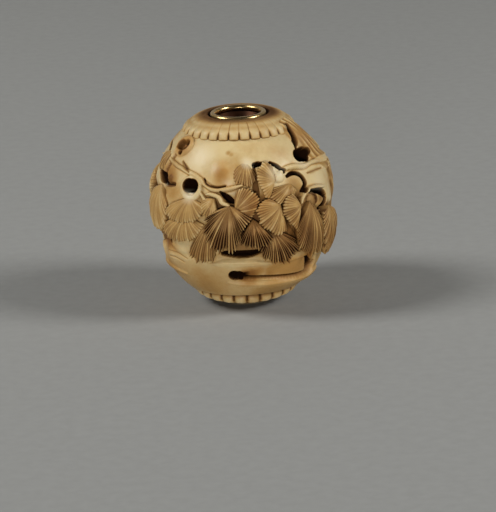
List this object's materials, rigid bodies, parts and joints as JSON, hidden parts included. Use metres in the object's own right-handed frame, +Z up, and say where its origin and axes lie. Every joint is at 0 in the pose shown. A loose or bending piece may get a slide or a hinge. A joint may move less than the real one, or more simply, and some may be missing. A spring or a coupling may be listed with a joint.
{
  "type": "carved bead",
  "caption": "Round carved cord bead with pine tufts, branches and cloud bands in deep relief, a petal collar at each end and a metal-lined hole for a doubled cord.",
  "frame": {"origin": "the point of the standing surface under the cord hole's axis, with the bead standing on its lower rim ring", "axes": "+Z up along the cord hole, -Y towards the side with the long pine branch and the large tufts, +X to that side's right"},
  "size_m": [0.0183, 0.0187, 0.0186],
  "materials": {
    "ivory": "polished carved ivory, warm cream on the high surfaces and stained brown in the cuts",
    "gilt_metal": "polished gilt",
    "liner_metal": "dark tarnished brass"
  },
  "bodies": {
    "root": {"carved_body": "ivory", "bore_liner": "liner_metal", "upper_rim_ring": "gilt_metal", "lower_rim_ring": "gilt_metal"}
  },
  "joints": []
}
